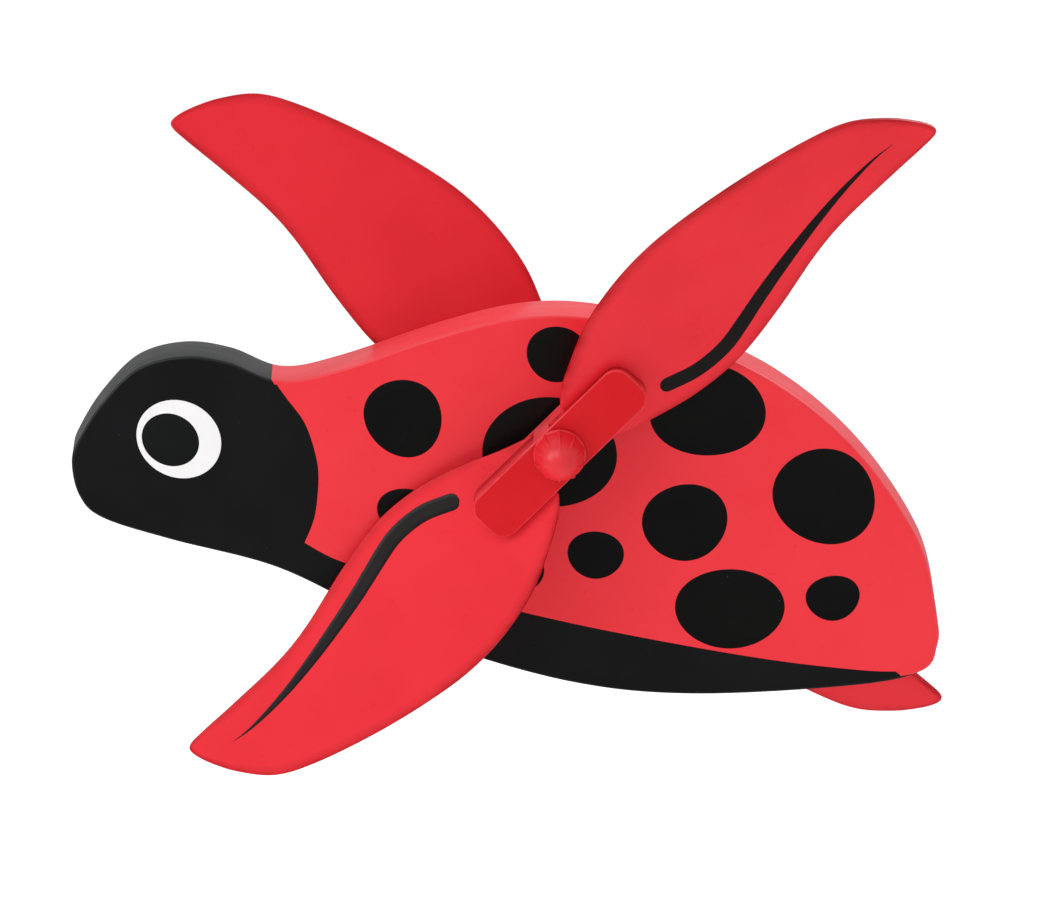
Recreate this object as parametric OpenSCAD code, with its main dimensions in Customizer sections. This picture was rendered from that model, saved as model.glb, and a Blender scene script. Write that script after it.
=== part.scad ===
// Wind whirligig: a flat painted ladybird board that swivels on a pole,
// with a two-bladed propeller on each side of it.
// +X runs toward the tail, +Z is up, and the axle lies along Y. The origin is
// the centre of the mouth of the pole socket, in the belly.
// "Left" is the ladybird's left, the -Y side. Each side is the same assembly,
// turned half a turn about the upright line through the middle of the axle.

/* [Body board] */
// Length of the board, nose to tail
body_len = 412; // [330:2:500]
// Height of the board, belly to back
body_h = 188; // [160:1:230]
// Thickness of the board
body_t = 28; // [20:0.5:32]

/* [Axle] */
// Distance of the axle behind the pole socket
axle_x = 56; // [45:1:80]
// Height of the axle above the mouth of the pole socket
axle_z = 107; // [90:1:125]
// Diameter of the steel axle rod
axle_d = 5; // [4:0.5:6]
// Wall of the brass tube that lines the board around the axle
liner_wall = 1; // [0.5:0.25:2]

/* [Pole socket] */
// Diameter of the bore that the pole turns in
socket_d = 6.5; // [5:0.1:8]
// Depth of that bore
socket_depth = 60; // [40:1:75]
// Wall of the steel sleeve that lines it
socket_wall = 1.25; // [0.75:0.25:2.5]
// Thickness of the hard disc that rests on the pole's tip
disc_t = 2.5; // [1.5:0.5:4]

/* [Propeller hub] */
// Length of the hub bar
hub_len = 100; // [80:1:130]
// Width of the hub bar across its face
hub_w = 24; // [20:1:30]
// Depth of the hub bar along the axle
hub_t = 24; // [20:1:30]
// Radius of the hub's four corners
hub_corner = 8; // [4:0.5:9]
// Wall of the bush in the middle of the hub
bush_wall = 1.5; // [1:0.25:2.5]
// How far the bush stands out of each face of the hub
bush_proud = 0.3; // [0.2:0.1:1]
// Wood left between the bush and the end of each blade slot
slot_wall = 1.5; // [1:0.5:4]

/* [Blades] */
// Distance of a blade's tip from the axle
blade_reach = 233; // [185:1:280]
// Widest part of a blade, edge to edge
blade_w = 84; // [70:1:110]
// Thickness of a blade
blade_t = 3; // [2:0.5:4]
// Tilt of the blades to the plane that they sweep
blade_pitch = 26; // [20:1:32]
// Gap between the board and the nearest blade edge as it passes
blade_gap = 2; // [1.5:0.5:5]
// Angle of the left hub above level with its propeller at rest
left_rest = 45; // [0:1:90]
// Angle of the right hub above level with its propeller at rest
right_rest = 42; // [0:1:90]

/* [Washers and nuts] */
// Thickness of the wide washer against the board
board_washer_t = 1.2; // [0.8:0.1:2]
// Diameter of the wide washer
board_washer_d = 20; // [14:1:24]
// Thickness of the washers on the two sides of the hub
thrust_washer_t = 1; // [0.5:0.1:1.5]
// Diameter of those washers
thrust_washer_d = 13; // [11:0.5:16]
// Wall of the spacer tube
spacer_wall = 2; // [1:0.5:3]
// Thickness of the push-on nut
push_nut_t = 1.5; // [1:0.1:2.5]
// Diameter of the push-on nut
push_nut_d = 12; // [10:0.5:15]

/* [Cap] */
// Diameter of the cap's thin flange
cap_d = 25; // [21:0.5:30]
// Thickness of that flange
cap_flange_t = 1.2; // [0.8:0.1:2]
// Height of the cap
cap_h = 18; // [12:0.5:24]
// Wall of the cap's dome
cap_wall = 1.6; // [1:0.1:2.2]
// Width of the flange outside the dome
cap_lip = 0.8; // [0.7:0.1:2.5]
// Number of grip ribs, an even number
rib_count = 10; // [6:2:16]
// Width of a grip rib
rib_w = 1.1; // [0.8:0.1:1.6]
// How far a grip rib stands out of the dome
rib_proud = 0.6; // [0.3:0.1:0.9]

/* [Clearances] */
// Radial gap between the axle and the bush that turns on it
run_gap = 0.05; // [0.01:0.01:0.1]
// Radial gap between the axle and the loose washers and spacer
loose_gap = 0.2; // [0.1:0.05:0.4]
// Free play at each end of the bush
end_play = 0.2; // [0.1:0.05:0.5]
// Gap between the cap and the face of the hub
cap_gap = 0.6; // [0.4:0.1:1]

/* [Hidden] */
$fn = 96;

// Size of the drawing that the board's outline points are laid out on
OUTLINE = [412, 181];
// Reach and width of the drawing that the blade's points are laid out on
BLADE_DRAWING = [233, 84];
// Straight pieces between two neighbouring points of an outline
CURVE_STEPS = 6;
// Extra length of a cut, so that it breaks cleanly through a face
CUT = 1;

// Round the board: nose, head, neck, back, tail, belly
BODY_POINTS = [
    [-175.5, 90], [-172, 101], [-161, 118], [-144, 134.5], [-122, 140.4], [-100, 137.5],
    [-76, 128.8], [-48, 134], [0, 150], [38, 158.8], [72, 158.5], [112, 149], [159, 127.3],
    [198, 94.5], [227, 52], [236, 16], [236.2, 2], [229, -10], [196, -17], [120, -21],
    [62, -15.3], [0, 2.5], [-40, 21.5], [-80, 40.5], [-129, 53.3], [-161, 63.5], [-172, 74]];

// Round one blade outside the hub: x is outward from the axle, and y is across,
// from the end of the wide edge beside the hub to the end of the narrow edge
BLADE_POINTS = [
    [15.5, 16], [22, 23.3], [36, 31.8], [56, 41.5], [80, 47], [104, 48], [130, 44.5],
    [160, 37.6], [190, 28], [209, 18.6], [222, 4.5], [230, -9], [233, -18], [231, -21.4],
    [222, -21.8], [200, -21], [172, -20.7], [150, -23.4], [118, -31.3], [88, -36], [62, -33.4],
    [40, -26.5], [28, -20.8]];

axle_r = axle_d / 2;
liner_r = axle_r + liner_wall;
sleeve_r = socket_d / 2 + socket_wall;
bush_r = axle_r + run_gap + bush_wall;
slot_start = bush_r + slot_wall;

body_scale = [body_len / OUTLINE.x, body_h / OUTLINE.y];
blade_scale = [blade_reach / BLADE_DRAWING.x, blade_w / BLADE_DRAWING.y];
narrow_w = -min([for (p = BLADE_POINTS) p.y]) * blade_scale.y;
// Half the width of a blade's root, flush with the sides of the hub
root_half = (hub_w / 2 - blade_t / 2 * sin(blade_pitch)) / cos(blade_pitch);

// Reach of a blade toward the board, behind the middle of the hub
blade_back = narrow_w * sin(blade_pitch) + blade_t / 2 * cos(blade_pitch);

// Distances outward from the face of the board, along the axle
hub_back = blade_back + blade_gap - hub_t / 2;
hub_face = hub_back + hub_t;
inner_washer_at = hub_back - bush_proud - end_play - thrust_washer_t;
spacer_len = inner_washer_at - board_washer_t;
outer_washer_at = hub_face + bush_proud + end_play;
push_nut_at = outer_washer_at + thrust_washer_t;
boss_at = push_nut_at + push_nut_t;
cap_at = hub_face + cap_gap;
// The cap's skin at its crown, and the end of the axle just under it
axle_end = cap_at + cap_h - cap_wall - CUT;

dome_r = cap_d / 2 - cap_lip;
boss_r = axle_r + cap_wall;

// A point on the smooth curve through b and c, with a and d as their neighbours
function curve_point(a, b, c, d, t) =
    0.5 * (2 * b + (c - a) * t + (2 * a - 5 * b + 4 * c - d) * t * t
        + (3 * b - a - 3 * c + d) * t * t * t);

// A closed smooth curve through all the points
function closed_curve(p) = let (n = len(p)) [
    for (i = [0 : n - 1], s = [0 : CURVE_STEPS - 1])
        curve_point(p[(i + n - 1) % n], p[i], p[(i + 1) % n], p[(i + 2) % n], s / CURVE_STEPS)];

// An open smooth curve from the first point to the last
function open_curve(p) = let (n = len(p)) [
    for (i = [0 : n - 2], s = [0 : CURVE_STEPS - 1])
        curve_point(p[max(i - 1, 0)], p[i], p[i + 1], p[min(i + 2, n - 1)], s / CURVE_STEPS),
    p[n - 1]];

// Half width of the dome at a height, from its full width to nothing at the crown
function dome_at(radius, height, z) = radius * sqrt(1 - pow(z / height, 2.2));

// One side's frame: its z points outward from the face of the board, along the axle
module on_side(side) {
    translate([axle_x, 0, axle_z])
        rotate([0, 0, side == "left" ? 0 : 180])
            rotate([90, 0, 0])
                translate([0, 0, body_t / 2])
                    children();
}

// The frame of a propeller at rest, with x along the hub and z still outward
module on_propeller(side) {
    on_side(side)
        rotate([0, 0, side == "left" ? left_rest : right_rest])
            children();
}

// A flat ring that starts at a height
module ring(outer_r, inner_r, at, thick) {
    translate([0, 0, at])
        difference() {
            cylinder(r = outer_r, h = thick);
            translate([0, 0, -CUT])
                cylinder(r = inner_r, h = thick + 2 * CUT);
        }
}

// A rectangle with round corners, centred
module round_rectangle(long, wide, r) {
    square([long - 2 * r, wide], center = true);
    square([long, wide - 2 * r], center = true);
    for (x = [-1, 1], y = [-1, 1])
        translate([x * (long / 2 - r), y * (wide / 2 - r)])
            circle(r = r);
}

// The ladybird: one board, cut to its outline, with the two bores
module body() {
    color("#d9242b")
        difference() {
            rotate([90, 0, 0])
                linear_extrude(body_t, center = true)
                    polygon([for (p = closed_curve(BODY_POINTS))
                        [p.x * body_scale.x, p.y * body_scale.y]]);
            translate([axle_x, 0, axle_z])
                rotate([90, 0, 0])
                    cylinder(r = liner_r, h = body_t + 2 * CUT, center = true);
            translate([0, 0, -socket_depth])
                cylinder(r = sleeve_r, h = 2 * socket_depth + disc_t);
        }
}

// The rod that both propellers turn on, held in the board
module axle() {
    color("#b9bcc0")
        translate([axle_x, 0, axle_z])
            rotate([90, 0, 0])
                cylinder(r = axle_r, h = body_t + 2 * axle_end, center = true);
}

// The tube that lines the board's bore and grips the axle
module axle_liner() {
    color("#c8a24a")
        translate([axle_x, 0, axle_z])
            rotate([90, 0, 0])
                ring(liner_r, axle_r, -body_t / 2, body_t);
}

// The sleeve that the pole stands in
module pivot_sleeve() {
    color("#a8abb0")
        ring(sleeve_r, socket_d / 2, 0, socket_depth);
}

// The hard disc above the sleeve, which rides on the tip of the pole
module pivot_disc() {
    color("#8d9095")
        translate([0, 0, socket_depth])
            cylinder(r = sleeve_r, h = disc_t);
}

// The wide washer that bears on the board
module board_washer(side) {
    color("#b9bcc0")
        on_side(side)
            ring(board_washer_d / 2, axle_r + loose_gap, 0, board_washer_t);
}

// The tube that holds the hub away from the board
module spacer(side) {
    color("#e8e4d8")
        on_side(side)
            ring(axle_r + loose_gap + spacer_wall, axle_r + loose_gap, board_washer_t, spacer_len);
}

// The washer between the spacer and the bush
module inner_washer(side) {
    color("#b9bcc0")
        on_side(side)
            ring(thrust_washer_d / 2, axle_r + loose_gap, inner_washer_at, thrust_washer_t);
}

// The cut for one blade, from the end of the hub nearly to the bush
module blade_slot() {
    slot_len = hub_len / 2 - slot_start + CUT;
    translate([slot_start, 0, 0])
        rotate([blade_pitch, 0, 0])
            translate([0, -hub_w, -blade_t / 2])
                cube([slot_len, 2 * hub_w, blade_t]);
}

// The bar that carries both blades
module hub(side) {
    color("#e0252d")
        on_propeller(side)
            translate([0, 0, hub_back + hub_t / 2])
                difference() {
                    linear_extrude(hub_t, center = true)
                        round_rectangle(hub_len, hub_w, hub_corner);
                    cylinder(r = bush_r, h = hub_t + 2 * CUT, center = true);
                    blade_slot();
                    rotate([0, 0, 180])
                        blade_slot();
                }
}

// The bush that turns on the axle
module hub_bush(side) {
    color("#e8e4d8")
        on_propeller(side)
            ring(bush_r, axle_r + run_gap, hub_back - bush_proud, hub_t + 2 * bush_proud);
}

// One blade, glued into its slot: number 2 is opposite number 1
module blade(side, number) {
    color("#ee2f37")
        on_propeller(side)
            translate([0, 0, hub_back + hub_t / 2])
                rotate([0, 0, 180 * (number - 1)])
                    rotate([blade_pitch, 0, 0])
                        linear_extrude(blade_t, center = true)
                            polygon(concat(
                                [[slot_start, root_half],
                                 [BLADE_POINTS[0].x * blade_scale.x, root_half]],
                                [for (p = open_curve(BLADE_POINTS))
                                    [p.x * blade_scale.x, p.y * blade_scale.y]],
                                [[slot_start, -root_half]]));
}

// The washer between the bush and the push-on nut
module outer_washer(side) {
    color("#b9bcc0")
        on_side(side)
            ring(thrust_washer_d / 2, axle_r + loose_gap, outer_washer_at, thrust_washer_t);
}

// The spring nut pushed onto the rod, with a raised rim
module push_nut(side) {
    rim = push_nut_t / 2;
    color("#8d9095")
        on_side(side) {
            ring(push_nut_d / 2, axle_r, push_nut_at, push_nut_t - rim);
            ring(push_nut_d / 2, push_nut_d / 2 - rim, push_nut_at + push_nut_t - rim, rim);
        }
}

// Half of a dome's section, from the axis outward, as a polygon to turn
module dome_section(radius, height) {
    polygon(concat([[0, 0]], [for (s = [0 : 16]) let (z = height * sin(90 * s / 16))
        [dome_at(radius, height, z), z]]));
}

// The ribbed plastic cap that hides the nut and the end of the rod
module cap(side) {
    color("#dd1f2a")
        on_side(side)
            difference() {
                union() {
                    translate([0, 0, cap_at])
                        cylinder(r = cap_d / 2, h = cap_flange_t);
                    translate([0, 0, cap_at])
                        cap_dome();
                }
                cap_hollow();
            }
}

// The outside of the dome, with its ribs
module cap_dome() {
    rotate_extrude()
        dome_section(dome_r, cap_h);
    intersection() {
        rotate_extrude()
            dome_section(dome_r + rib_proud, cap_h - cap_wall);
        for (i = [0 : rib_count / 2 - 1])
            rotate([0, 0, 360 / rib_count * (i + 0.5)])
                translate([-cap_d / 2, -rib_w / 2, 0])
                    cube([cap_d, rib_w, cap_h * 0.62]);
    }
}

// The space inside the cap: the hollow around the boss, and the rod's own bore
module cap_hollow() {
    difference() {
        translate([0, 0, cap_at - CUT])
            cylinder(r = dome_r - cap_wall, h = CUT + cap_flange_t);
        translate([0, 0, boss_at])
            cylinder(r = boss_r, h = cap_h);
    }
    translate([0, 0, cap_at])
        difference() {
            rotate_extrude()
                dome_section(dome_r - cap_wall, cap_h - cap_wall);
            translate([0, 0, boss_at - cap_at])
                cylinder(r = boss_r, h = cap_h);
        }
    translate([0, 0, cap_at - CUT])
        cylinder(r = axle_r, h = axle_end - cap_at + CUT);
}

body();
axle();
axle_liner();
pivot_sleeve();
pivot_disc();
board_washer("left");  // left_board_washer
spacer("left");  // left_spacer
inner_washer("left");  // left_inner_washer
hub("left");  // left_hub
hub_bush("left");  // left_hub_bush
blade("left", 1);  // left_blade_1
blade("left", 2);  // left_blade_2
outer_washer("left");  // left_outer_washer
push_nut("left");  // left_push_nut
cap("left");  // left_cap
board_washer("right");  // right_board_washer
spacer("right");  // right_spacer
inner_washer("right");  // right_inner_washer
hub("right");  // right_hub
hub_bush("right");  // right_hub_bush
blade("right", 1);  // right_blade_1
blade("right", 2);  // right_blade_2
outer_washer("right");  // right_outer_washer
push_nut("right");  // right_push_nut
cap("right");  // right_cap
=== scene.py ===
import bmesh
import bpy
import numpy as np
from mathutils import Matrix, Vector
from mathutils.geometry import delaunay_2d_cdt


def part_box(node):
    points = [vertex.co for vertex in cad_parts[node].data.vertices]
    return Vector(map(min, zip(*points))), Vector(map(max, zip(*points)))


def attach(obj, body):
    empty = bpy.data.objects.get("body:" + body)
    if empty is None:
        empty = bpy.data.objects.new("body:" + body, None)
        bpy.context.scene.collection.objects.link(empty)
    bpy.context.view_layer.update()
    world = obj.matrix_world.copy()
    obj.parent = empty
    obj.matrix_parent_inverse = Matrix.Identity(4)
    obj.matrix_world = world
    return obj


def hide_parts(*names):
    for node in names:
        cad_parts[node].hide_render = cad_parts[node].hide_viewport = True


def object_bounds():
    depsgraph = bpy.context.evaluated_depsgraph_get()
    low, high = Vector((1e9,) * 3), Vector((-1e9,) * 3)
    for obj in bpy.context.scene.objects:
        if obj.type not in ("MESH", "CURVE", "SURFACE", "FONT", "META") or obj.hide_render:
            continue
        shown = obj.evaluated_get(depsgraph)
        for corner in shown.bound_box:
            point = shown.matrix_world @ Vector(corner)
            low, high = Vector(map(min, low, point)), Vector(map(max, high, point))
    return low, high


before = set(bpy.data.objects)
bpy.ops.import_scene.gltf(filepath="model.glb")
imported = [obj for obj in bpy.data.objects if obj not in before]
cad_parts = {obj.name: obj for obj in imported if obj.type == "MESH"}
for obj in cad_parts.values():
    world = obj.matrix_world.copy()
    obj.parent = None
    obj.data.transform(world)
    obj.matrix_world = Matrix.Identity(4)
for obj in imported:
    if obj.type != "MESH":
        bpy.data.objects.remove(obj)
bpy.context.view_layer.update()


# --- Board -------------------------------------------------------------------------------
# The ladybird is one softwood board, sawn to its outline, bored for the axle and the pole,
# and rounded over along both faces. It is sprayed red, and its head and belly are black.

MM = 0.001
# Radius of the rounding along both faces of the board
BOARD_ROUND = 1.3
# Between points round the board, along its belly line, and sides of a bore's circle
BOARD_STEP = 1.6
BELLY_STEP = 2.5
BORE_SIDES = 48
# Round the board: nose, head, neck, back, tail, belly
BOARD_DRAWING = [
    [-175.5, 90], [-172, 101], [-161, 118], [-144, 134.5], [-122, 140.4], [-100, 137.5],
    [-76, 128.8], [-48, 134], [0, 150], [38, 158.8], [72, 158.5], [112, 149], [159, 127.3],
    [198, 94.5], [227, 52], [236, 16], [236.2, 2], [229, -10], [196, -17], [120, -21],
    [62, -15.3], [0, 2.5], [-40, 21.5], [-80, 40.5], [-129, 53.3], [-161, 63.5], [-172, 74]]
# The back of the head, from the neck to the belly, and then the belly line, which runs onto the
# rounding before the tail and reaches the rim at the tail's corner
HEAD_BORDER = [[-79.9, 129.8], [-73.2, 120.6], [-64.7, 108.8], [-59.6, 93.5], [-58.4, 81.6],
               [-60.3, 64.5], [-65.2, 51.8]]
BELLY_BORDER = [[-65.2, 51.8], [-47, 42.5], [-8, 30.5], [32, 20.1], [76, 10.2], [130, 0],
                [168, -5.9], [203, -9.6], [219, -10]]
TAIL_CORNER = [230, -9.8]
# How far the black's edge on the rim starts before its edge on the face, at the neck
NECK_LEAN = 1.5
# How far along the rim each lean reaches, at the tail and at the neck
TAIL_REACH = 30
NECK_REACH = 15
# The flat's narrow margin inside the rounding, and how far below the part's origin the cutter
# of the pole's bore starts
FLAT_MARGIN = 0.6
CUT_BELOW = 30


def smooth_curve(points, steps, closed):
    """A smooth curve through the points. Each stretch is the cubic that passes its two ends
    along the lines that join their neighbours on either side."""
    p = np.asarray(points, float)
    if closed:
        p = np.concatenate([p[-1:], p, p[:2]])
    else:
        p = np.concatenate([p[:1], p, p[-1:]])
    a, b, c, d = (k[:, None] for k in (p[:-3], p[1:-2], p[2:-1], p[3:]))
    t = np.linspace(0, 1, steps, endpoint=False)[None, :, None]
    curve = 0.5 * (2 * b + (c - a) * t + (2 * a - 5 * b + 4 * c - d) * t**2
                   + (3 * b - a - 3 * c + d) * t**3)
    curve = curve.reshape(-1, 2)
    return curve if closed else np.concatenate([curve, p[-2:-1]])


def spaced(curve, gap, closed):
    """The same curve with its points about one gap apart along its length."""
    path = np.concatenate([curve, curve[:1]]) if closed else curve
    along = np.concatenate([[0], np.cumsum(np.linalg.norm(np.diff(path, axis=0), axis=1))])
    places = np.linspace(0, along[-1], max(int(round(along[-1] / gap)), 2) + 1)
    even = np.stack([np.interp(places, along, path[:, k]) for k in (0, 1)], axis=1)
    return even[:-1] if closed else even


def outward(loop):
    """Unit vectors square to a loop that runs anticlockwise, away from its inside."""
    along = np.roll(loop, -1, axis=0) - np.roll(loop, 1, axis=0)
    return np.stack([along[:, 1], -along[:, 0]], axis=1) / np.linalg.norm(along, axis=1)[:, None]


def ring_points(centre, radius, count):
    """Points round a circle."""
    turn = np.linspace(0, 2 * np.pi, count, endpoint=False)
    return np.asarray(centre, float) + radius * np.stack([np.cos(turn), np.sin(turn)], axis=1)


def inside(points, loop):
    """True for the points in a loop, where a level ray from the point crosses it an odd
    number of times."""
    x, y = points[:, :1], points[:, 1:]
    x0, y0 = loop.T
    x1, y1 = np.roll(loop, -1, axis=0).T
    crossed = (y0 > y) != (y1 > y)
    where = x0 + (y - y0) * (x1 - x0) / np.where(y1 == y0, 1, y1 - y0)
    return (crossed & (x < where)).sum(axis=1) % 2 == 1


def grid_faces(rows, cols, rows_close=False, cols_close=False):
    """The quads of a grid of points kept row by row, joined round where it closes."""
    i = np.arange(rows if rows_close else rows - 1)[:, None]
    j = np.arange(cols if cols_close else cols - 1)[None, :]
    up, on = (i + 1) % rows, (j + 1) % cols
    return np.stack([i * cols + j, i * cols + on, up * cols + on, up * cols + j],
                    axis=-1).reshape(-1, 4)


def flat_fill(rings, line=None):
    """Triangles over the flat inside the first ring and outside the others. A line, if there is
    one, is (first point's place in the ring, its middle points, last point's place), and the
    triangles meet along what lies in the ring of it."""
    flat = np.concatenate(rings)
    edges, start = [], 0
    for ring in rings:
        at = np.arange(len(ring))
        edges.append(np.stack([at, (at + 1) % len(ring)], axis=1) + start)
        start += len(ring)
    if line is not None:
        first, middle, last = line
        middle = middle[inside(middle, rings[0])]
        flat = np.concatenate([flat, middle])
        chain = np.concatenate([[first], np.arange(start, start + len(middle)), [last]])
        edges.append(np.stack([chain[:-1], chain[1:]], axis=1))
    made = delaunay_2d_cdt([Vector(p) for p in flat], np.concatenate(edges).tolist(), [], 0, 1e-6)
    place = np.array([ids[0] for ids in made[3]])
    triangles = place[np.array(made[2])]
    middles = flat[triangles].mean(axis=1)
    kept = inside(middles, rings[0])
    for hole in rings[1:]:
        kept &= ~inside(middles, hole)
    return flat, triangles[kept]


def along_loop(loop, values, slide):
    """A loop's values, read again at each of its points moved along it by the slide, in rows."""
    step = np.linalg.norm(np.roll(loop, -1, axis=0) - loop, axis=1)
    at = np.concatenate([[0], np.cumsum(step)])
    wrapped = np.concatenate([values, values[:1]])
    where = (at[:-1, None] + slide) % at[-1]
    return np.stack([np.interp(where, at, wrapped[:, k]) for k in (0, 1)], axis=-1)


def plate(loop, thick, rounding, margins, holes=(), line=None, slide=0, bend_steps=5):
    """A flat solid with a rounded rim. Every point of the loop carries the same section: in from
    the rim by the margins on the flat, a quarter circle of the rounding, straight across the
    thickness, and the same again to the other flat. slide leans the section along the loop, by
    that much at the flats. Gives the points, with depth as the third number, the quads and
    triangles, the flat's own points and triangles, and each point's share of the rim."""
    bend = np.linspace(0, np.pi / 2, bend_steps + 1)[None, :]
    r = np.broadcast_to(rounding, len(loop))[:, None]
    m = np.stack([np.broadcast_to(k, len(loop)) for k in margins], axis=1)
    inset = np.concatenate([r + m, r * (1 - np.sin(bend))], axis=1)
    depth = np.concatenate([thick / 2 + 0 * m, thick / 2 - r * (1 - np.cos(bend))], axis=1)
    share = np.concatenate([0 * m, np.sin(bend) + 0 * r], axis=1)
    inset, depth, share = (np.concatenate([k, s * k[:, ::-1]], axis=1)
                           for k, s in ((inset, 1), (depth, -1), (share, 1)))
    rows, cols = inset.shape
    lean = np.broadcast_to(slide, len(loop))[:, None] * (1 - share)
    rim = along_loop(loop, loop, lean) - along_loop(loop, outward(loop), lean) * inset[..., None]
    points = [np.concatenate([rim, depth[..., None]], axis=-1).reshape(-1, 3)]
    quads = [grid_faces(rows, cols, rows_close=True)]
    flat, triangles = flat_fill([rim[:, 0], *holes], line)
    extra = flat[rows:]
    front_at, back_at = rows * cols, rows * cols + len(extra)
    for sign in (1, -1):
        points.append(np.column_stack([extra, np.full(len(extra), sign * thick / 2)]))
    at = np.arange(len(flat))
    front = np.where(at < rows, at * cols, at - rows + front_at)
    back = np.where(at < rows, at * cols + cols - 1, at - rows + back_at)
    done = 0
    for hole in holes:
        k = np.arange(len(hole))
        on = (k + 1) % len(hole)
        quads.append(np.stack([front_at + done + k, front_at + done + on,
                               back_at + done + on, back_at + done + k], axis=1))
        done += len(hole)
    rim_shading_share = np.concatenate([share.reshape(-1), np.zeros(2 * len(extra))])
    return {"points": np.concatenate(points), "quads": np.concatenate(quads), "cols": cols,
            "triangles": np.concatenate([front[triangles], back[triangles[:, ::-1]]]),
            "flat": flat, "flat_triangles": triangles, "rim": rim_shading_share}


def piece(name, points, faces, materials, paint=None, flat=None, rim=None):
    """A closed mesh from points in millimetres, its faces turned outward and its poles closed.
    paint gives each face's material, and flat the faces that aren't shaded as curved."""
    mesh = bpy.data.meshes.new(name)
    mesh.from_pydata((np.asarray(points, float) * MM).tolist(), [], [list(f) for f in faces])
    mesh.polygons.foreach_set("use_smooth", ~flat if flat is not None
                              else np.ones(len(mesh.polygons), bool))
    for material in materials:
        mesh.materials.append(material)
    if paint is not None:
        mesh.polygons.foreach_set("material_index", paint.astype(np.int32))
    if rim is not None:
        shares = mesh.attributes.new("rim", "FLOAT", "POINT")
        shares.data.foreach_set("value", rim.astype(np.float32))
    shell = bmesh.new()
    shell.from_mesh(mesh)
    bmesh.ops.remove_doubles(shell, verts=shell.verts, dist=1e-7)
    bmesh.ops.recalc_face_normals(shell, faces=shell.faces)
    shell.to_mesh(mesh)
    shell.free()
    made = bpy.data.objects.new(name, mesh)
    bpy.context.scene.collection.objects.link(made)
    return made


def turned(name, section, centre, axis, materials, count=96, closed=True, shape=None):
    """A solid of revolution: the section's points (radius, height) carried round the axis. A
    closed section makes a ring. An open one starts and ends on the axis. shape, if it is given,
    adds to the radius at every (turn, place on the section)."""
    section = np.asarray(section, float)
    turn = np.linspace(0, 2 * np.pi, count, endpoint=False)
    axis = np.asarray(axis, float)
    across = np.array([axis[1], -axis[0], 0]) if abs(axis[2]) < 0.9 else np.array([1.0, 0, 0])
    other = np.cross(axis, across)
    radius = section[None, :, 0] + (0 if shape is None else shape(turn[:, None], section[None]))
    radius = np.broadcast_to(radius, (count, len(section)))
    spoke = np.cos(turn)[:, None] * across + np.sin(turn)[:, None] * other
    points = (np.asarray(centre, float) + radius[..., None] * spoke[:, None, :]
              + section[None, :, 1:] * axis)
    faces = grid_faces(count, len(section), rows_close=True, cols_close=closed)
    return piece(name, points.reshape(-1, 3), faces, materials)


def cut_out(made, cutter):
    """Takes the cutter's solid out of a piece, and the cutter away."""
    cut = made.modifiers.new("cut", "BOOLEAN")
    cut.operation, cut.solver, cut.object = "DIFFERENCE", "EXACT", cutter
    shaped = made.evaluated_get(bpy.context.evaluated_depsgraph_get())
    made.data = bpy.data.meshes.new_from_object(shaped)
    made.modifiers.clear()
    bpy.data.objects.remove(cutter)


def box_mm(node):
    """The lowest and highest corner of a CAD node, in millimetres."""
    return [np.array(corner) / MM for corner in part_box(node)]


def srgb(red, green, blue):
    """A colour as a screen shows it, 0 to 255, as the light that a shader takes."""
    c = np.array([red, green, blue]) / 255
    return (*np.where(c <= 0.04045, c / 12.92, ((c + 0.055) / 1.055) ** 2.4), 1)


def add(tree, kind, inputs=None, **settings):
    """One shader node, with its options and its sockets, each a value or the socket it joins."""
    made = tree.nodes.new(kind)
    for name, value in settings.items():
        setattr(made, name, value)
    for name, value in (inputs or {}).items():
        if isinstance(value, bpy.types.NodeSocket):
            tree.links.new(value, made.inputs[name])
        else:
            made.inputs[name].default_value = value
    return made


def new_material(name):
    """An empty material with its shader, and the object's own coordinates."""
    material = bpy.data.materials.new(name)
    material.use_nodes = True
    tree = material.node_tree
    shader = tree.nodes["Principled BSDF"]
    place = add(tree, "ShaderNodeTexCoord").outputs["Object"]
    return material, tree, shader, place


def noise(tree, place, scale, stretch=(1, 1, 1), turn=(0, 0, 0), detail=4.0, roughness=0.5):
    """Noise of about 1/scale metres, stretched along the object's axes."""
    laid = add(tree, "ShaderNodeMapping", {"Vector": place, "Scale": stretch, "Rotation": turn})
    made = add(tree, "ShaderNodeTexNoise", {"Vector": laid.outputs[0], "Scale": scale,
                                            "Detail": detail, "Roughness": roughness})
    return made.outputs["Fac"]


def ranged(tree, value, low, high, to_low, to_high):
    """A value carried from one range into another, and held at its ends."""
    return add(tree, "ShaderNodeMapRange", {"Value": value, "From Min": low, "From Max": high,
                                            "To Min": to_low, "To Max": to_high}).outputs[0]


def blend_colour(tree, share, first, second):
    """The first colour where share is 0, and the second where it is 1."""
    mixed = add(tree, "ShaderNodeMix", data_type="RGBA")
    for number, value in ((0, share), (6, first), (7, second)):
        socket = mixed.inputs[number]
        if isinstance(value, bpy.types.NodeSocket):
            tree.links.new(value, socket)
        else:
            socket.default_value = value
    return mixed.outputs[2]


def combined(tree, how, first, second):
    """Two values added, multiplied or so on."""
    return add(tree, "ShaderNodeMath", {0: first, 1: second}, operation=how).outputs[0]


def uneven_gloss(tree, shader, place, scale, low, high):
    """Roughness that wanders between two values, in patches of about 1/scale metres."""
    wander = ranged(tree, noise(tree, place, scale), 0.3, 0.7, low, high)
    tree.links.new(wander, shader.inputs["Roughness"])


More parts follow.
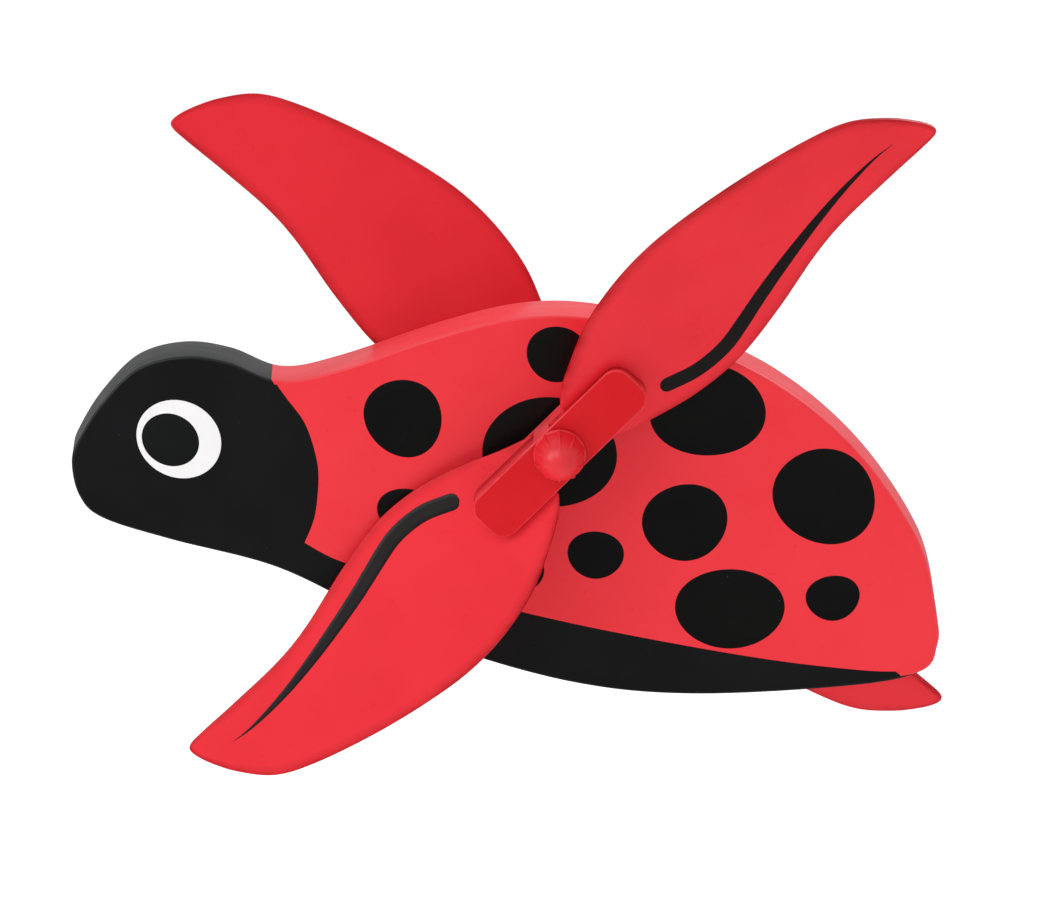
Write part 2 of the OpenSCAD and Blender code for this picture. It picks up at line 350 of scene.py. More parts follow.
def painted_wood(name, colour, cloud, rim_shading_colour, rim_shading_share, specks, speck_colour,
                 gloss=(0.27, 0.37), grain=0.25, sheen=0.2):
    """Satin paint on wood: faint clouds in the colour, toward the rim a rim colour that paints
    light on the edges (a painted highlight where it is lighter, painted shade where it is darker),
    dust specks, a fine skin like orange peel, and the grain showing through along the board."""
    material, tree, shader, place = new_material(name)
    clouds = ranged(tree, noise(tree, place, 22, detail=5), 0.38, 0.68, 0, 1)
    base = blend_colour(tree, clouds, colour, cloud)
    rim = add(tree, "ShaderNodeAttribute", attribute_name="rim").outputs["Fac"]
    streaks = noise(tree, place, 9, stretch=(1, 14, 14), detail=6, roughness=0.62)
    # Toward the rim, in streaky patches, the colour turns to the rim colour: a painted highlight
    # where that colour is lighter than the paint, painted shade where it is darker
    patchy = ranged(tree, streaks, 0.35, 0.65, 0.45 * rim_shading_share, rim_shading_share)
    rim_shading_mix = combined(tree, "MULTIPLY", rim, patchy)
    base = blend_colour(tree, rim_shading_mix, base, rim_shading_colour)
    dust = add(tree, "ShaderNodeTexVoronoi", {"Vector": place, "Scale": 150.0, "Randomness": 1.0})
    near = ranged(tree, dust.outputs["Distance"], 0.03, 0.06, 1, 0)
    patches = ranged(tree, noise(tree, place, 60, detail=2), 0.56, 0.6, 0, specks)
    base = blend_colour(tree, combined(tree, "MULTIPLY", near, patches), base, speck_colour)
    tree.links.new(base, shader.inputs["Base Color"])
    uneven_gloss(tree, shader, place, 80, *gloss)
    shader.inputs["Specular IOR Level"].default_value = sheen
    peel = add(tree, "ShaderNodeBump", {"Strength": 0.06, "Distance": 0.3 * MM,
                                        "Height": noise(tree, place, 900, detail=2)})
    depth = combined(tree, "MULTIPLY", streaks, ranged(tree, rim, 0, 1, 0.25, 1))
    ridges = add(tree, "ShaderNodeBump", {"Strength": grain, "Distance": 0.4 * MM, "Height": depth,
                                          "Normal": peel.outputs[0]})
    tree.links.new(ridges.outputs[0], shader.inputs["Normal"])
    return material


board_low, board_high = box_mm("body")
board_thick = board_high[1] - board_low[1]
board_loop = smooth_curve(BOARD_DRAWING, 16, closed=True)
drawn_low, drawn_high = board_loop.min(axis=0), board_loop.max(axis=0)


def on_board(points):
    """Points of the board's drawing, moved and scaled so that the drawing fills the board."""
    share = (np.asarray(points, float) - drawn_low) / (drawn_high - drawn_low)
    return board_low[[0, 2]] + share * (board_high - board_low)[[0, 2]]


# Anticlockwise, as the left side sees it, and starting at the neck, where the black begins
board_loop = spaced(on_board(board_loop)[::-1], BOARD_STEP, closed=True)
neck = np.linalg.norm(board_loop - on_board(HEAD_BORDER[0]), axis=1).argmin()
board_loop = np.roll(board_loop, -neck, axis=0)
tail_at = on_board(TAIL_CORNER)
tail = np.linalg.norm(board_loop - tail_at, axis=1).argmin()
tail_run = np.linalg.norm(on_board(BELLY_BORDER[-1]) - tail_at)
steps = np.arange(len(board_loop))
from_tail = (steps - tail) * BOARD_STEP
from_neck = np.minimum(steps, len(board_loop) - steps) * BOARD_STEP
# The section leans back along the loop at the tail and the neck, so that the paint's edge
# meets the rim there. The lean is e to the power of minus the square of distance over reach.
lean = (-tail_run * np.exp(-(from_tail / TAIL_REACH) ** 2)
        - NECK_LEAN * np.exp(-(from_neck / NECK_REACH) ** 2))
paint_line = on_board(np.concatenate([
    spaced(smooth_curve(HEAD_BORDER, 12, closed=False), BOARD_STEP, closed=False)[:-1],
    spaced(smooth_curve(BELLY_BORDER, 12, closed=False), BELLY_STEP, closed=False)[:-1]]))

liner_low, liner_high = box_mm("axle_liner")
axle_at = (liner_low + liner_high)[[0, 2]] / 2
board_bore = ring_points(axle_at, (liner_high - liner_low)[0] / 2, BORE_SIDES)
board_made = plate(board_loop, board_thick, BOARD_ROUND, [FLAT_MARGIN], [board_bore],
                   (0, paint_line, tail), lean)

# The red's rim colour is lighter than the paint: a painted highlight along the board's rounded
# edges and its top
red_paint = painted_wood("red_paint", srgb(241, 54, 64), srgb(238, 50, 60),
                         srgb(243, 90, 98), 0.8, 0.3, srgb(205, 36, 44))
# The black's rim colour is grey: a painted sheen along the rounded edges of the head and belly and
# on the head's top
black_paint = painted_wood("black_paint", srgb(17, 17, 18), srgb(21, 21, 23),
                           srgb(54, 57, 55), 0.95, 0.5, srgb(90, 90, 90), grain=0.5)

black_region = np.concatenate([board_made["flat"][:tail + 1], paint_line[::-1]])
fill_middles = board_made["flat"][board_made["flat_triangles"]].mean(axis=1)
fill_black = inside(fill_middles, black_region)
quad_count, quad_cols = len(board_made["quads"]), board_made["cols"] - 1
quad_black = np.arange(quad_count) < tail * quad_cols
paint = np.concatenate([quad_black, fill_black, fill_black])
is_flat = np.arange(len(paint)) >= quad_count
# The plate's own numbers are (along, up, out to the left), so depth runs toward -Y
board_points = board_made["points"][:, [0, 2, 1]] * [1, -1, 1]
board_faces = board_made["quads"].tolist() + board_made["triangles"].tolist()
board = piece("board", board_points, board_faces, [red_paint, black_paint], paint, is_flat,
              board_made["rim"])

sleeve_low, sleeve_high = box_mm("pivot_sleeve")
socket_top = box_mm("pivot_disc")[1][2]
socket_r = (sleeve_high - sleeve_low)[0] / 2
socket_section = [[0, -CUT_BELOW], [socket_r, -CUT_BELOW], [socket_r, socket_top], [0, socket_top]]
socket_cutter = turned("socket_cutter", socket_section, (0, 0, 0), (0, 0, 1), [black_paint],
                       closed=False)
cut_out(board, socket_cutter)
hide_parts("body")
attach(board, "board")


# --- Spots and eyes ------------------------------------------------------------------------
# Thin films of black paint, stencilled on the red of both faces in the same places, and the
# eye: a white oval with a black pupil over it. Each is a low blister with a soft edge.

FILM = 0.12
# How far the film's edge goes into the face under it
FILM_SINK = 0.06
# Share of a spot's size over which its film falls off at the edge
FILM_EDGE = 1 / 60
# In the board's drawing: middle along and up, width and height, how much the top is wider than
# the bottom, lean
SPOTS = [
    [-17.7, 111.7, 38.2, 35.6, -0.1, -44], [54.6, 141.5, 28.5, 26.4, 0.06, -6],
    [51.4, 95.2, 64, 52.1, -0.03, -6], [-17.4, 66.9, 26.6, 21.6, 0.1, -4],
    [35.4, 38, 26.6, 20.9, 0.08, -4], [73.2, 45.9, 26.8, 22.6, 0.08, -5],
    [115.8, 61.4, 40.7, 36.5, 0.08, 12], [126.2, 115.1, 54.9, 43.2, -0.08, 0],
    [182.1, 74.3, 49.4, 44.9, -0.08, -25], [137.2, 20.1, 52.2, 38.1, 0.05, 0],
    [186.3, 25.2, 25.7, 21.6, 0.11, 8]]
EYE_WHITE = [-124.5, 101.3, 41.2, 36.2, 0, -27.5]
PUPIL = [-128.5, 101, 28, 24.4, 0, -27.5]


def egg(middle_x, middle_z, width, height, taper, lean, count=96):
    """An egg-shaped loop: an oval whose width grows with height by the taper, then leaned."""
    turn = np.linspace(0, 2 * np.pi, count, endpoint=False)
    x = width / 2 * np.cos(turn) * (1 + taper * np.sin(turn))
    z = height / 2 * np.sin(turn)
    a = np.radians(lean)
    return np.stack([middle_x + x * np.cos(a) - z * np.sin(a),
                     middle_z + x * np.sin(a) + z * np.cos(a)], axis=1)


def film_points(loop, lift):
    """A low blister over a loop: rings that shrink to the loop's middle, sunk under the face
    below, and above it at the film's height, which falls off in a quarter circle at the edge."""
    middle = loop.mean(axis=0)
    edge = np.linspace(0, np.pi / 2, 4)
    size = np.concatenate([[0, 1], 1 - FILM_EDGE * (1 - np.cos(edge)), [0.6, 0]])
    height = np.concatenate([[-FILM_SINK] * 2, lift * np.sin(edge), [lift, lift]])
    flat = middle + (loop - middle)[:, None, :] * size[None, :, None]
    points = np.concatenate([flat, np.broadcast_to(height[None, :, None], (*flat.shape[:2], 1))],
                            axis=-1)
    return points.reshape(-1, 3), grid_faces(len(loop), len(size), rows_close=True)


def face_films(name, loops, lift, side, material):
    """Films on one face of the board. side is -1 on the left and 1 on the right."""
    points, faces, count = [], [], 0
    for loop in loops:
        made, quads = film_points(on_board(loop), lift)
        points.append(made)
        faces.append(quads + count)
        count += len(made)
    points = np.concatenate(points)
    out = side * (board_thick / 2 + points[:, 2])
    film = piece(name, np.stack([points[:, 0], out, points[:, 1]], axis=1),
                 np.concatenate(faces).tolist(), [material])
    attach(film, "board")
    return film


spot_paint = painted_wood("spot_paint", srgb(9, 9, 9), srgb(13, 13, 12),
                          srgb(9, 9, 9), 0, 0.6, srgb(80, 80, 80))
eye_paint = painted_wood("eye_paint", srgb(246, 245, 245), srgb(240, 239, 239),
                         srgb(246, 245, 245), 0, 0.15, srgb(205, 203, 202))
pupil_paint = painted_wood("pupil_paint", srgb(17, 18, 19), srgb(22, 23, 24),
                           srgb(17, 18, 19), 0, 0.4, srgb(80, 80, 80))
for word, side in (("left", -1), ("right", 1)):
    face_films(f"{word}_spots", [egg(*s) for s in SPOTS], FILM, side, spot_paint)
    face_films(f"{word}_eye_white", [egg(*EYE_WHITE)], FILM, side, eye_paint)
    face_films(f"{word}_pupil", [egg(*PUPIL)], 2 * FILM, side, pupil_paint)


# --- Pole socket -----------------------------------------------------------------------------
# A steel tube pressed into the bore in the belly, its mouth eased for the pole, and the hard
# disc above it that turns on the pole's tip.


def skin(tree, shader, height, strength):
    """A fine skin: bump of up to a tenth of a millimetre that follows a height."""
    bump = add(tree, "ShaderNodeBump",
               {"Strength": strength, "Distance": 0.1 * MM, "Height": height})
    tree.links.new(bump.outputs[0], shader.inputs["Normal"])


def turned_steel(name, colour, rough):
    """Bright metal with fine tool rings, a little tarnish and uneven polish."""
    material, tree, shader, place = new_material(name)
    tarnish = ranged(tree, noise(tree, place, 240, detail=5), 0.35, 0.7, 0, 1)
    dull = tuple(0.72 * c for c in colour[:3]) + (1,)
    tree.links.new(blend_colour(tree, tarnish, colour, dull), shader.inputs["Base Color"])
    shader.inputs["Metallic"].default_value = 1.0
    uneven_gloss(tree, shader, place, 500, rough - 0.08, rough + 0.1)
    skin(tree, shader, noise(tree, place, 700, stretch=(0.15, 3, 0.15), detail=2), 0.12)
    return material


def ring_section(inner, outer, low, high, ease):
    """The section of a ring whose four edges are eased by small quarter circles."""
    bend = np.linspace(0, np.pi / 2, 5)
    corners = [(outer - ease, high - ease, 0), (inner + ease, high - ease, 1),
               (inner + ease, low + ease, 2), (outer - ease, low + ease, 3)]
    return np.concatenate([np.stack([r + ease * np.cos(bend + k * np.pi / 2),
                                     h + ease * np.sin(bend + k * np.pi / 2)], axis=1)
                           for r, h, k in corners])


def refinish(node, material):
    """A CAD node that keeps its shape and gets its finish."""
    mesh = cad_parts[node].data
    mesh.materials.clear()
    mesh.materials.append(material)


SLEEVE_WALL = 1.25
SLEEVE_EASE = 0.3
tube_steel = turned_steel("tube_steel", (0.60, 0.61, 0.63, 1), 0.34)
hard_steel = turned_steel("hard_steel", (0.50, 0.51, 0.53, 1), 0.3)
sleeve_section = ring_section(socket_r - SLEEVE_WALL, socket_r, sleeve_low[2], sleeve_high[2],
                              SLEEVE_EASE)
sleeve = turned("pole_sleeve", sleeve_section, (0, 0, 0), (0, 0, 1), [tube_steel], count=72)
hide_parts("pivot_sleeve")
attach(sleeve, "board")
refinish("pivot_disc", hard_steel)


# --- Axle, liner and the parts threaded on it --------------------------------------------------
# A drawn steel rod held in a brass tube through the board. On each side it carries a wide zinc
# washer, a nylon spacer and thin washers each side of the hub, and a spring nut pushed on last.


def nylon_plastic(name, colour):
    """Natural nylon: milky, faintly cloudy, with a fine moulded skin."""
    material, tree, shader, place = new_material(name)
    cloud = tuple(0.9 * c for c in colour[:3]) + (1,)
    mottle = ranged(tree, noise(tree, place, 160), 0.35, 0.65, 0, 1)
    tree.links.new(blend_colour(tree, mottle, colour, cloud), shader.inputs["Base Color"])
    uneven_gloss(tree, shader, place, 700, 0.4, 0.55)
    skin(tree, shader, noise(tree, place, 1800, detail=2), 0.1)
    return material


rod_steel = turned_steel("rod_steel", (0.66, 0.67, 0.69, 1), 0.28)
zinc = turned_steel("zinc_plate", (0.68, 0.69, 0.71, 1), 0.36)
spring_steel = turned_steel("spring_steel", (0.42, 0.43, 0.46, 1), 0.4)
brass = turned_steel("brass", (0.72, 0.56, 0.24, 1), 0.3)
nylon = nylon_plastic("nylon", (0.86, 0.84, 0.78, 1))

refinish("axle", rod_steel)
refinish("axle_liner", brass)
rod_low, rod_high = box_mm("axle")
rod_r = (rod_high - rod_low)[0] / 2
# How much wider than the rod a washer's or a spacer's bore is, on the radius
LOOSE = 0.2
for side in ("left", "right"):
    refinish(f"{side}_push_nut", spring_steel)
    refinish(f"{side}_hub_bush", nylon)
    for part, slot, material, ease in (("board_washer", "zinc_washer", zinc, 0.3),
                                       ("spacer", "nylon", nylon, 0.35),
                                       ("inner_washer", "zinc_washer", zinc, 0.25),
                                       ("outer_washer", "zinc_washer", zinc, 0.25)):
        low, high = box_mm(f"{side}_{part}")
        ring = turned(f"{side}_{part}_turned",
                      ring_section(rod_r + LOOSE, (high - low)[0] / 2, low[1], high[1], ease),
                      (axle_at[0], 0, axle_at[1]), (0, 1, 0), [material])
        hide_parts(f"{side}_{part}")
        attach(ring, "board")


# --- Hubs ---------------------------------------------------------------------------------
# Each propeller's hub is a bar of hardwood with round corners, its edges eased by sanding. A
# slanted slot is sawn into each end for a blade, and it is painted a deeper red.

HUB_CORNER = 8
HUB_ROUND = 0.7
HUB_MARGIN = 0.5
# Room left for glue round a blade in its slot
GLUE_GAP = 0.12


def hub_loop(long, wide, corner):
    """A rectangle with round corners, anticlockwise: four quarter circles joined by straights."""
    bend = np.linspace(0, np.pi / 2, 12)
    parts = []
    for k, (x, y) in enumerate(((1, 1), (-1, 1), (-1, -1), (1, -1))):
        a = bend + k * np.pi / 2
        parts.append(np.stack([x * (long / 2 - corner) + corner * np.cos(a),
                               y * (wide / 2 - corner) + corner * np.sin(a)], axis=1))
    return spaced(np.concatenate(parts), 1.0, closed=True)


def node_points(node):
    """Every corner of a CAD node, in millimetres."""
    return np.array([v.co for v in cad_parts[node].data.vertices]) / MM


def main_axes(points):
    """The directions in which points are spread most to least, as the rows of a matrix."""
    spread = np.cov((points - points.mean(axis=0)).T)
    return np.linalg.eigh(spread)[1].T[::-1]


def in_frame(points, origin, axes):
    """Points given along three axes from an origin, in the row frame."""
    return np.asarray(origin) + np.asarray(points) @ np.asarray(axes)


def plate_piece(name, made, origin, axes, material, rim):
    """A plate laid along three axes, its flats shaded flat and its rim as curved."""
    faces = made["quads"].tolist() + made["triangles"].tolist()
    flat = np.arange(len(faces)) >= len(made["quads"])
    return piece(name, in_frame(made["points"], origin, axes), faces, [material], None, flat, rim)


# The hub's rim colour is a light red: a painted highlight over the hub's sides and rounded edges
hub_red = painted_wood("hub_paint", srgb(215, 17, 27), srgb(207, 14, 23),
                       srgb(243, 88, 98), 1.0, 0.3, srgb(176, 16, 24), grain=0.3)
sides = {}
for side, out in (("left", np.array([0, -1.0, 0])), ("right", np.array([0, 1.0, 0]))):
    corners = node_points(f"{side}_hub")
    along = main_axes(corners)[0]
    along = along * np.sign(along[2])
    across = np.cross(out, along)
    spread = corners @ np.array([along, across, out]).T
    low, high = spread.min(axis=0), spread.max(axis=0)
    long, wide, deep = high - low
    centre = np.array([axle_at[0], (high + low)[2] / 2 * out[1], axle_at[1]])
    bush_low, bush_high = box_mm(f"{side}_hub_bush")
    bore = ring_points((0, 0), (bush_high - bush_low)[0] / 2, BORE_SIDES)
    made = plate(hub_loop(long, wide, HUB_CORNER), deep, HUB_ROUND, [HUB_MARGIN], [bore])
    hub = plate_piece(f"{side}_hub_bar", made, centre, [along, across, out], hub_red, made["rim"])
    sides[side] = {"out": out, "centre": centre, "along": along, "across": across, "hub": hub,
                   "wide": wide, "long": long}
    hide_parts(f"{side}_hub")
    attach(hub, f"{side}_propeller")


# --- Blades -------------------------------------------------------------------------------
# Four blades sawn from 3 mm plywood and glued into the hubs' slots, two to a hub. Their rims
# are rounded, and painted shade darkens the red there. A black stroke runs up each.

BLADE_ROUND = 1.0
# Round one blade outside the hub: outward from the axle, and across
BLADE_DRAWING = [
    [15.5, 16], [22, 23.3], [36, 31.8], [56, 41.5], [80, 47], [104, 48], [130, 44.5],
    [160, 37.6], [190, 28], [209, 18.6], [222, 4.5], [230, -9], [233, -18], [231, -21.4],
    [222, -21.8], [200, -21], [172, -20.7], [150, -23.4], [118, -31.3], [88, -36], [62, -33.4],
    [40, -26.5], [28, -20.8]]
# The middle of the painted stroke, from beside the hub to the tip
STROKE = [[53, -15.2], [59, -18.2], [69.6, -22.6], [80, -24.4], [90, -24.3], [100, -22.2],
          [120, -17], [140, -12.7], [161, -9], [181, -6.6], [201, -6], [214, -7.4]]
STROKE_WIDTH = 8.3
STROKE_POWER = 2.2
# Between points round the blade, along its root, and along the stroke
BLADE_STEP = 1.4
ROOT_STEP = 1.2
STROKE_STEP = 0.8
# The rounding left at the root's square corners, and how far from them it grows to its full
CORNER_ROUND = 0.08
CORNER_REACH = 5
# The width on the flat of the painted shade along the blade's rim, and how far from the corners
# its width and its strength take to come up to full
RIM_SHADE_WIDTH = 4
RIM_SHADE_REACH = 16
RIM_SHADE_FADE = 14
# How far a slot goes in past the blade's root, and its cutter out past the hub's end
SLOT_SPARE = 0.4
SLOT_END = 4


def blade_outline(reach, width, start, root_half):
    """The blade's loop, its root in the slot with square corners, how far each point is from the
    nearest of those corners, and from the sharp turn at the tip."""
    free = smooth_curve(BLADE_DRAWING, 12, closed=False)
    free = free * [reach / free[:, 0].max(), width / np.ptp(free[:, 1])]
    corners = np.array([[start, -root_half], [start, root_half], [free[0, 0], root_half], free[0],
                        free[-1]])
    stretches = [(free[-1], corners[0]), corners[:2], corners[1:3], (corners[2], free[0])]
    straights = [spaced(np.array(ends), ROOT_STEP, closed=False)[:-1] for ends in stretches]
    loop = np.concatenate([spaced(free, BLADE_STEP, closed=False)[:-1], *straights])[::-1]
    gap = np.linalg.norm(loop[:, None] - corners[None], axis=2).min(axis=1)
    tip_gap = np.linalg.norm(loop - free[free[:, 0].argmax()], axis=1)
    return loop, gap, tip_gap


def eased(value, full):
    """0 at 0, rising smoothly to 1 at full."""
    t = np.clip(value / full, 0, 1)
    return t * t * (3 - 2 * t)


def stroke_points(lift, base):
    """A brush stroke along its middle line: a round end of half its width, then a width that
    falls to nothing with a power of the way along. Across it the film is a low blister."""
    line = spaced(smooth_curve(STROKE, 12, closed=False), STROKE_STEP, closed=False)
    along = np.gradient(line, axis=0)
    normal = np.stack([-along[:, 1], along[:, 0]], axis=1) / np.linalg.norm(along, axis=1)[:, None]
    way = np.linspace(0, 1, len(line))
    total = len(line) * STROKE_STEP
    end = np.clip(way * total / (STROKE_WIDTH / 2), 0, 1)
    half = STROKE_WIDTH / 2 * (1 - way**STROKE_POWER) * np.sqrt(1 - (1 - end) ** 2)
    across = np.array([-1, -1, -0.96, -0.5, 0, 0.5, 0.96, 1, 1, 0])
    height = np.array([-FILM_SINK, 0.4 * lift, lift, lift, lift, lift, lift, 0.4 * lift, -FILM_SINK,
                       -FILM_SINK])
    flat = line[:, None] + normal[:, None] * (across * half[:, None])[..., None]
    lifted = np.broadcast_to(base + height[None, :, None], (*flat.shape[:2], 1))
    points = np.concatenate([flat, lifted], axis=-1)
    return points.reshape(-1, 3), grid_faces(len(line), len(across), cols_close=True)


# The blade's rim colour is a darker red: painted shade along its rounded rims
blade_red = painted_wood("blade_paint", srgb(236, 44, 56), srgb(230, 40, 52),
                         srgb(168, 8, 16), 1.0, 0.5, srgb(186, 22, 30), grain=0.3)
stroke_paint = painted_wood("stroke_paint", srgb(27, 22, 23), srgb(31, 26, 27),
                            srgb(27, 22, 23), 0, 0.2, srgb(80, 80, 80))
for side, hub_side in sides.items():
    out, centre = hub_side["out"], hub_side["centre"]
    for number in (1, 2):
        node = f"{side}_blade_{number}"
        corners = node_points(node) - centre
        u = hub_side["along"] * np.sign(corners.mean(axis=0) @ hub_side["along"])
        n = main_axes(corners)[2]
        n = n * np.sign(n @ out)
        axes = np.array([u, np.cross(n, u), n])
        low, high = (corners @ axes.T).min(axis=0), (corners @ axes.T).max(axis=0)
        thick = high[2] - low[2]
        tilt = np.arccos(n @ out)
        root_half = (hub_side["wide"] / 2 - thick / 2 * np.sin(tilt)) / np.cos(tilt)
        loop, gap, tip_gap = blade_outline(high[0], high[1] - low[1], low[0], root_half)
        rounding = CORNER_ROUND + (BLADE_ROUND - CORNER_ROUND) * eased(gap, CORNER_REACH)
        margins = [0.05 + RIM_SHADE_WIDTH * eased(np.minimum(gap, 0.5 * tip_gap), RIM_SHADE_REACH),
                   0.03 + 0.9 * eased(gap, RIM_SHADE_REACH / 2)]
        margins[0] = np.maximum(margins[0], margins[1] + 0.05)
        made = plate(loop, thick, rounding, margins)
        cols = made["cols"]
        # Painted shade across the rim's section: none on the flat, rising over the margins to full
        # over the rounding
        shade = np.concatenate([[0, 0.35], np.linspace(0.6, 1, 6)])
        shade = np.concatenate([shade, shade[::-1]])
        rim = np.concatenate([(shade[None, :] * eased(gap, RIM_SHADE_FADE)[:, None]).reshape(-1),
                              made["rim"][len(loop) * cols:]])
        blade = plate_piece(f"{side}_blade_{number}_sawn", made, centre, axes, blade_red, rim)
        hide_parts(node)
        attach(blade, f"{side}_propeller")

        points, faces = stroke_points(FILM, thick / 2)
        stroke = piece(f"{side}_stroke_{number}", in_frame(points, centre, axes), faces.tolist(),
                       [stroke_paint])
        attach(stroke, f"{side}_propeller")

        start, end = low[0] - SLOT_SPARE, hub_side["long"] / 2 + SLOT_END
        half = thick / 2 + GLUE_GAP
        wall = hub_side["wide"]
        box = [[x, y, z] for x in (start, end) for y in (-wall, wall) for z in (-half, half)]
        box_faces = [[0, 1, 3, 2], [4, 6, 7, 5], [0, 4, 5, 1], [2, 3, 7, 6], [0, 2, 6, 4],
                     [1, 5, 7, 3]]
        cut_out(hub_side["hub"], piece("slot_cutter", in_frame(box, centre, axes), box_faces,
                                       [hub_red], flat=np.ones(len(box_faces), bool)))


# --- Caps ---------------------------------------------------------------------------------
# A ribbed cap of glossy red plastic over each end of the axle: a thin flange, and a dome with
# ten grip ribs that run up from the flange and die out on the dome.

CAP_FLANGE = 1.2
CAP_LIP = 0.8
CAP_WALL = 1.6
RIBS = 10
RIB_WIDTH = 1.3
RIB_PROUD = 0.8
# Radius of the fillet at the dome's foot, and the power that shapes the dome
CAP_FILLET = 0.45
DOME_POWER = 2.2


def cap_section(radius, height):
    """From the crown down the dome, round a small fillet, over the flange's round rim, and up
    the inside. The dome's radius falls with the square root of 1 less a power of height."""
    dome = radius - CAP_LIP
    up = height * np.sin(np.linspace(np.pi / 2, 0, 44))
    up = np.concatenate([up[up > CAP_FLANGE + CAP_FILLET + 0.05], [CAP_FLANGE + CAP_FILLET]])
    outside = np.stack([dome * np.sqrt(1 - (up / height) ** DOME_POWER), up], axis=1)
    bend = np.linspace(0, np.pi / 2, 5)[1:]
    foot = outside[-1, 0]
    fillet = np.stack([foot + CAP_FILLET * (1 - np.cos(bend)),
                       CAP_FLANGE + CAP_FILLET * (1 - np.sin(bend))], axis=1)
    half = CAP_FLANGE / 2
    turn = np.linspace(np.pi / 2, -np.pi / 2, 9)
    rim = np.stack([radius - half + half * np.cos(turn), half + half * np.sin(turn)], axis=1)
    inner_r, inner_h = dome - CAP_WALL, height - CAP_WALL
    rise = inner_h * np.sin(np.linspace(0, np.pi / 2, 20))
    hollow = np.stack([inner_r * np.sqrt(1 - (rise / inner_h) ** DOME_POWER), rise], axis=1)
    return np.concatenate([outside, fillet, rim, hollow])


def cap_ribs(height):
    """What the ribs add to the radius: a round-topped ridge at each tenth of a turn, as the
    square root of 1 less the square of the way across it, that fades out up the dome."""
    def shape(turn, section):
        radius, up = section[..., 0], section[..., 1]
        pitch = 2 * np.pi / RIBS
        off = np.abs((turn / pitch) % 1 - 0.5) * pitch * radius
        ridge = np.sqrt(np.clip(1 - (off / (RIB_WIDTH / 2)) ** 2, 0, 1))
        fade = 1 - eased(up - 0.5 * height, 0.42 * height)
        on_dome = np.zeros(section.shape[1])
        on_dome[:np.argmax(up[0] < CAP_FLANGE + 0.9 * CAP_FILLET)] = 1
        return RIB_PROUD * ridge * fade * on_dome
    return shape


def glossy_plastic(name, colour):
    """Moulded plastic dyed through, glossy, with faint flow marks and a scuffed skin."""
    material, tree, shader, place = new_material(name)
    flow = ranged(tree, noise(tree, place, 90, detail=5), 0.35, 0.65, 0, 1)
    deep = tuple(0.9 * c for c in colour[:3]) + (1,)
    tree.links.new(blend_colour(tree, flow, colour, deep), shader.inputs["Base Color"])
    uneven_gloss(tree, shader, place, 600, 0.3, 0.38)
    skin(tree, shader, noise(tree, place, 900, detail=2), 0.03)
    return material


cap_red = glossy_plastic("cap_plastic", srgb(237, 40, 51))
for side, hub_side in sides.items():
    low, high = box_mm(f"{side}_cap")
    out = hub_side["out"]
    foot = low[1] if out[1] > 0 else high[1]
    cap_height = high[1] - low[1]
    cap = turned(f"{side}_cap_moulded", cap_section((high - low)[0] / 2, cap_height),
                 (axle_at[0], foot, axle_at[1]), out, [cap_red], count=400, closed=False,
                 shape=cap_ribs(cap_height))
    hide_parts(f"{side}_cap")
    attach(cap, "board")


# --- Floor, light and camera ------------------------------------------------------------------
# A plain white floor well below the part, a soft white room, and three broad lamps: one in
# front and overhead, one to the left, and one high behind that catches the board's top edge.

FLOOR_DROP = 0.35
FLOOR_HALF = 12.0
object_low, object_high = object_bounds()
floor_mesh = bpy.data.meshes.new("floor")
level = object_low.z - FLOOR_DROP
floor_mesh.from_pydata([(-FLOOR_HALF, -FLOOR_HALF, level), (FLOOR_HALF, -FLOOR_HALF, level),
                        (FLOOR_HALF, FLOOR_HALF, level), (-FLOOR_HALF, FLOOR_HALF, level)],
                       [], [(0, 1, 2, 3)])
floor = bpy.data.objects.new("floor", floor_mesh)
bpy.context.scene.collection.objects.link(floor)
floor_white, _, floor_shader, _ = new_material("floor_white")
floor_shader.inputs["Base Color"].default_value = (0.9, 0.9, 0.9, 1)
floor_shader.inputs["Roughness"].default_value = 0.9
floor_shader.inputs["Specular IOR Level"].default_value = 0.0
floor_shader.inputs["Emission Color"].default_value = (1, 1, 1, 1)
floor_shader.inputs["Emission Strength"].default_value = 0.45
floor.data.materials.append(floor_white)
floor.visible_glossy = False

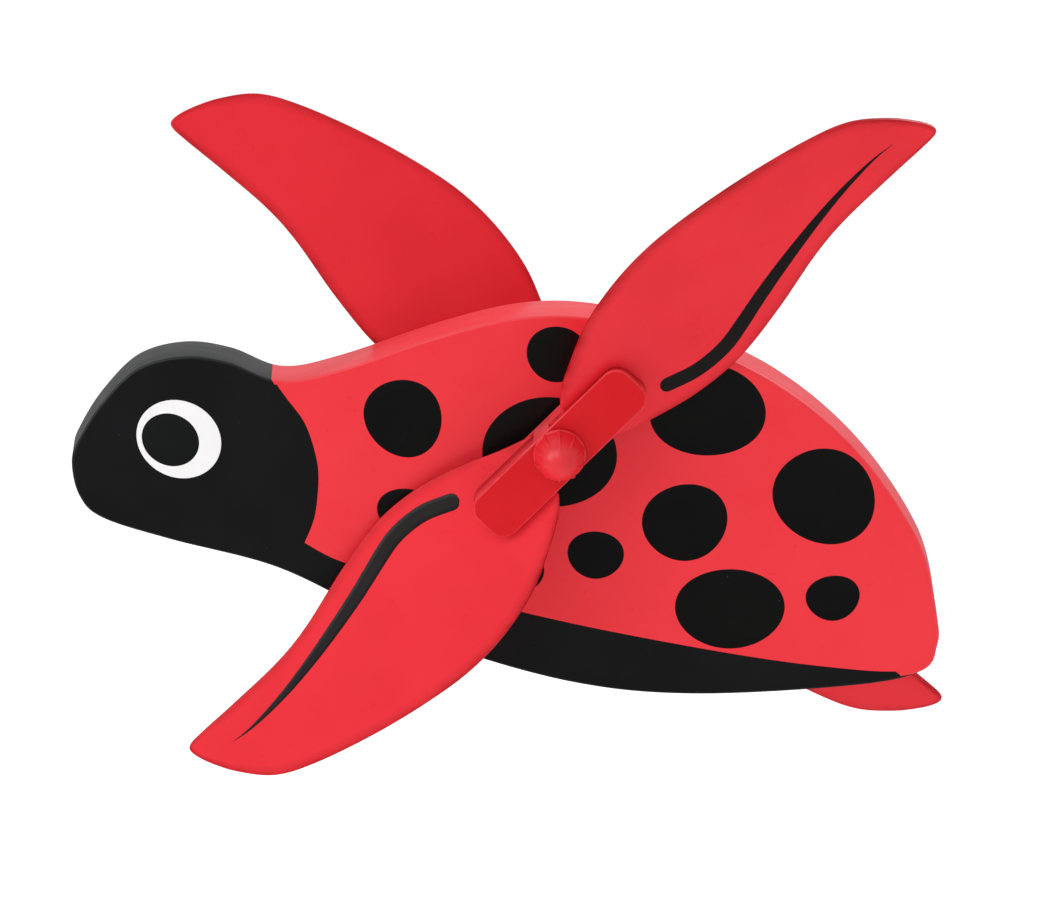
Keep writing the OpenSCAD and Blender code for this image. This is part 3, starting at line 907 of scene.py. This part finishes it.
room = bpy.data.worlds.new("room")
bpy.context.scene.world = room
room.use_nodes = True
room_tree = room.node_tree
room_tree.nodes.clear()
way = add(room_tree, "ShaderNodeTexCoord").outputs["Generated"]
height_of = add(room_tree, "ShaderNodeSeparateXYZ", {"Vector": way}).outputs["Z"]
glow = ranged(room_tree, height_of, -0.45, 0.6, 0.2, 0.64)
lit = add(room_tree, "ShaderNodeBackground", {"Color": (1, 1, 1, 1), "Strength": glow})
seen = add(room_tree, "ShaderNodeBackground", {"Color": (1, 1, 1, 1), "Strength": 1.0})
camera_ray = add(room_tree, "ShaderNodeLightPath").outputs["Is Camera Ray"]
whole = add(room_tree, "ShaderNodeMixShader",
            {0: camera_ray, 1: lit.outputs[0], 2: seen.outputs[0]})
add(room_tree, "ShaderNodeOutputWorld", {"Surface": whole.outputs[0]})


def lamp(name, place, aim, wide, high, watts):
    """A broad rectangular lamp that faces a point."""
    light = bpy.data.lights.new(name, "AREA")
    light.shape, light.size, light.size_y, light.energy = "RECTANGLE", wide, high, watts
    made = bpy.data.objects.new(name, light)
    made.location = place
    made.rotation_euler = (Vector(aim) - Vector(place)).to_track_quat("-Z", "Y").to_euler()
    bpy.context.scene.collection.objects.link(made)
    return made


middle = (object_low + object_high) / 2
lamp("front_lamp", (-0.7, -1.2, 1.6), middle, 1.2, 1.0, 8)
lamp("side_lamp", (-1.4, -0.8, 0.8), middle, 0.8, 0.8, 6)
lamp("back_lamp", (1.0, 0.9, 1.2), middle, 0.8, 0.8, 12)

CAMERA_HEIGHT_ANGLE = 16.5
CAMERA_DISTANCE = 5.0
CAMERA_AIM = (0.042, 0, 0.092)
CAMERA_SENSOR = 36
CAMERA_LENS = 356.9
camera_data = bpy.data.cameras.new("camera")
camera_data.sensor_width = CAMERA_SENSOR
camera_data.lens = CAMERA_LENS
camera = bpy.data.objects.new("camera", camera_data)
rise = np.radians(CAMERA_HEIGHT_ANGLE)
back = Vector((0, -np.cos(rise), np.sin(rise)))
camera.location = Vector(CAMERA_AIM) + back * CAMERA_DISTANCE
camera.rotation_euler = (-back).to_track_quat("-Z", "Y").to_euler()
bpy.context.scene.collection.objects.link(camera)
bpy.context.scene.camera = camera
bpy.context.scene.view_settings.view_transform = "Standard"
